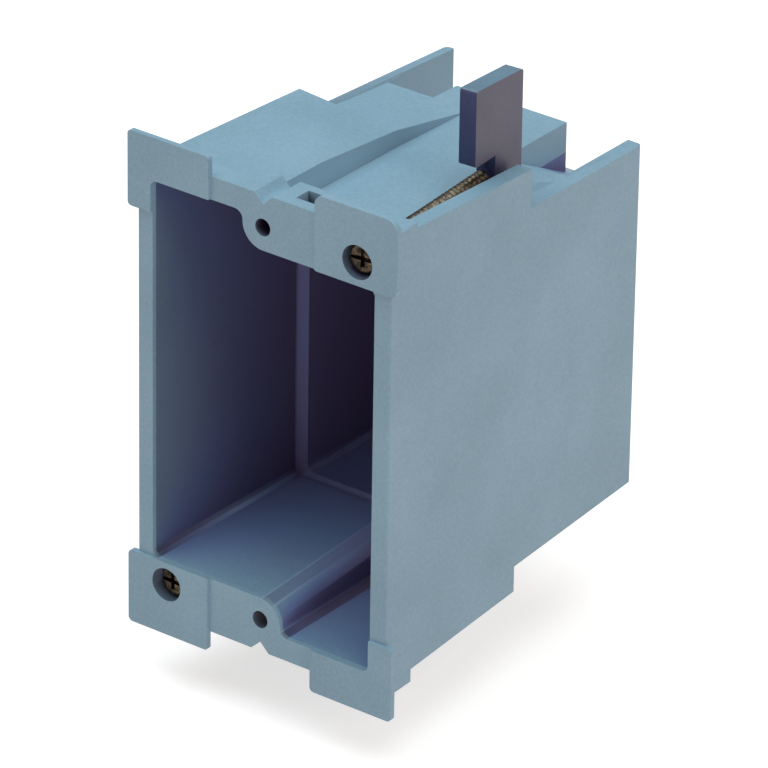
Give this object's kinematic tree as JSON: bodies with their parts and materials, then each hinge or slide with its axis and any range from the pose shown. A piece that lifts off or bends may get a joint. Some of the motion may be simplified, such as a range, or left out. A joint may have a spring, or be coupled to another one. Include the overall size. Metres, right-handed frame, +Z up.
{
  "type": "single gang old work outlet box",
  "caption": "Deep moulded plastic wall box for a wiring device, with ears, a stepped top and swing clamps on long screws.",
  "frame": {"origin": "midway between the device screw holes, on the box's front plane", "axes": "+X to the right and +Z up seen from the room, +Y into the wall along the box's depth"},
  "size_m": [0.0638, 0.0889, 0.1264],
  "materials": {
    "box": "satin",
    "clamp": "satin",
    "screw": "zinc"
  },
  "bodies": {
    "box": {"box_body": "box"},
    "top_screw": {"top_clamp_screw": "screw"},
    "top_clamp": {"top_swing_clamp": "clamp"},
    "bottom_screw": {"bottom_clamp_screw": "screw"},
    "bottom_clamp": {"bottom_swing_clamp": "clamp"}
  },
  "joints": [
    {"name": "top_swing", "type": "hinge", "parent": "box", "child": "top_screw", "pos_m": [0.0225, 0, 0.04167], "axis": [-0.0748, 0.9972, 0], "range_deg": [-90, 0]},
    {"name": "top_travel", "type": "slide", "parent": "top_screw", "child": "top_clamp", "axis": [-0.0748, 0.9972, 0], "range_m": [-0.024, 0]},
    {"name": "bottom_swing", "type": "hinge", "parent": "box", "child": "bottom_screw", "pos_m": [-0.0225, 0, -0.04167], "axis": [0.0748, 0.9972, 0], "range_deg": [-90, 0]},
    {"name": "bottom_travel", "type": "slide", "parent": "bottom_screw", "child": "bottom_clamp", "axis": [0.0748, 0.9972, 0], "range_m": [-0.024, 0]}
  ]
}
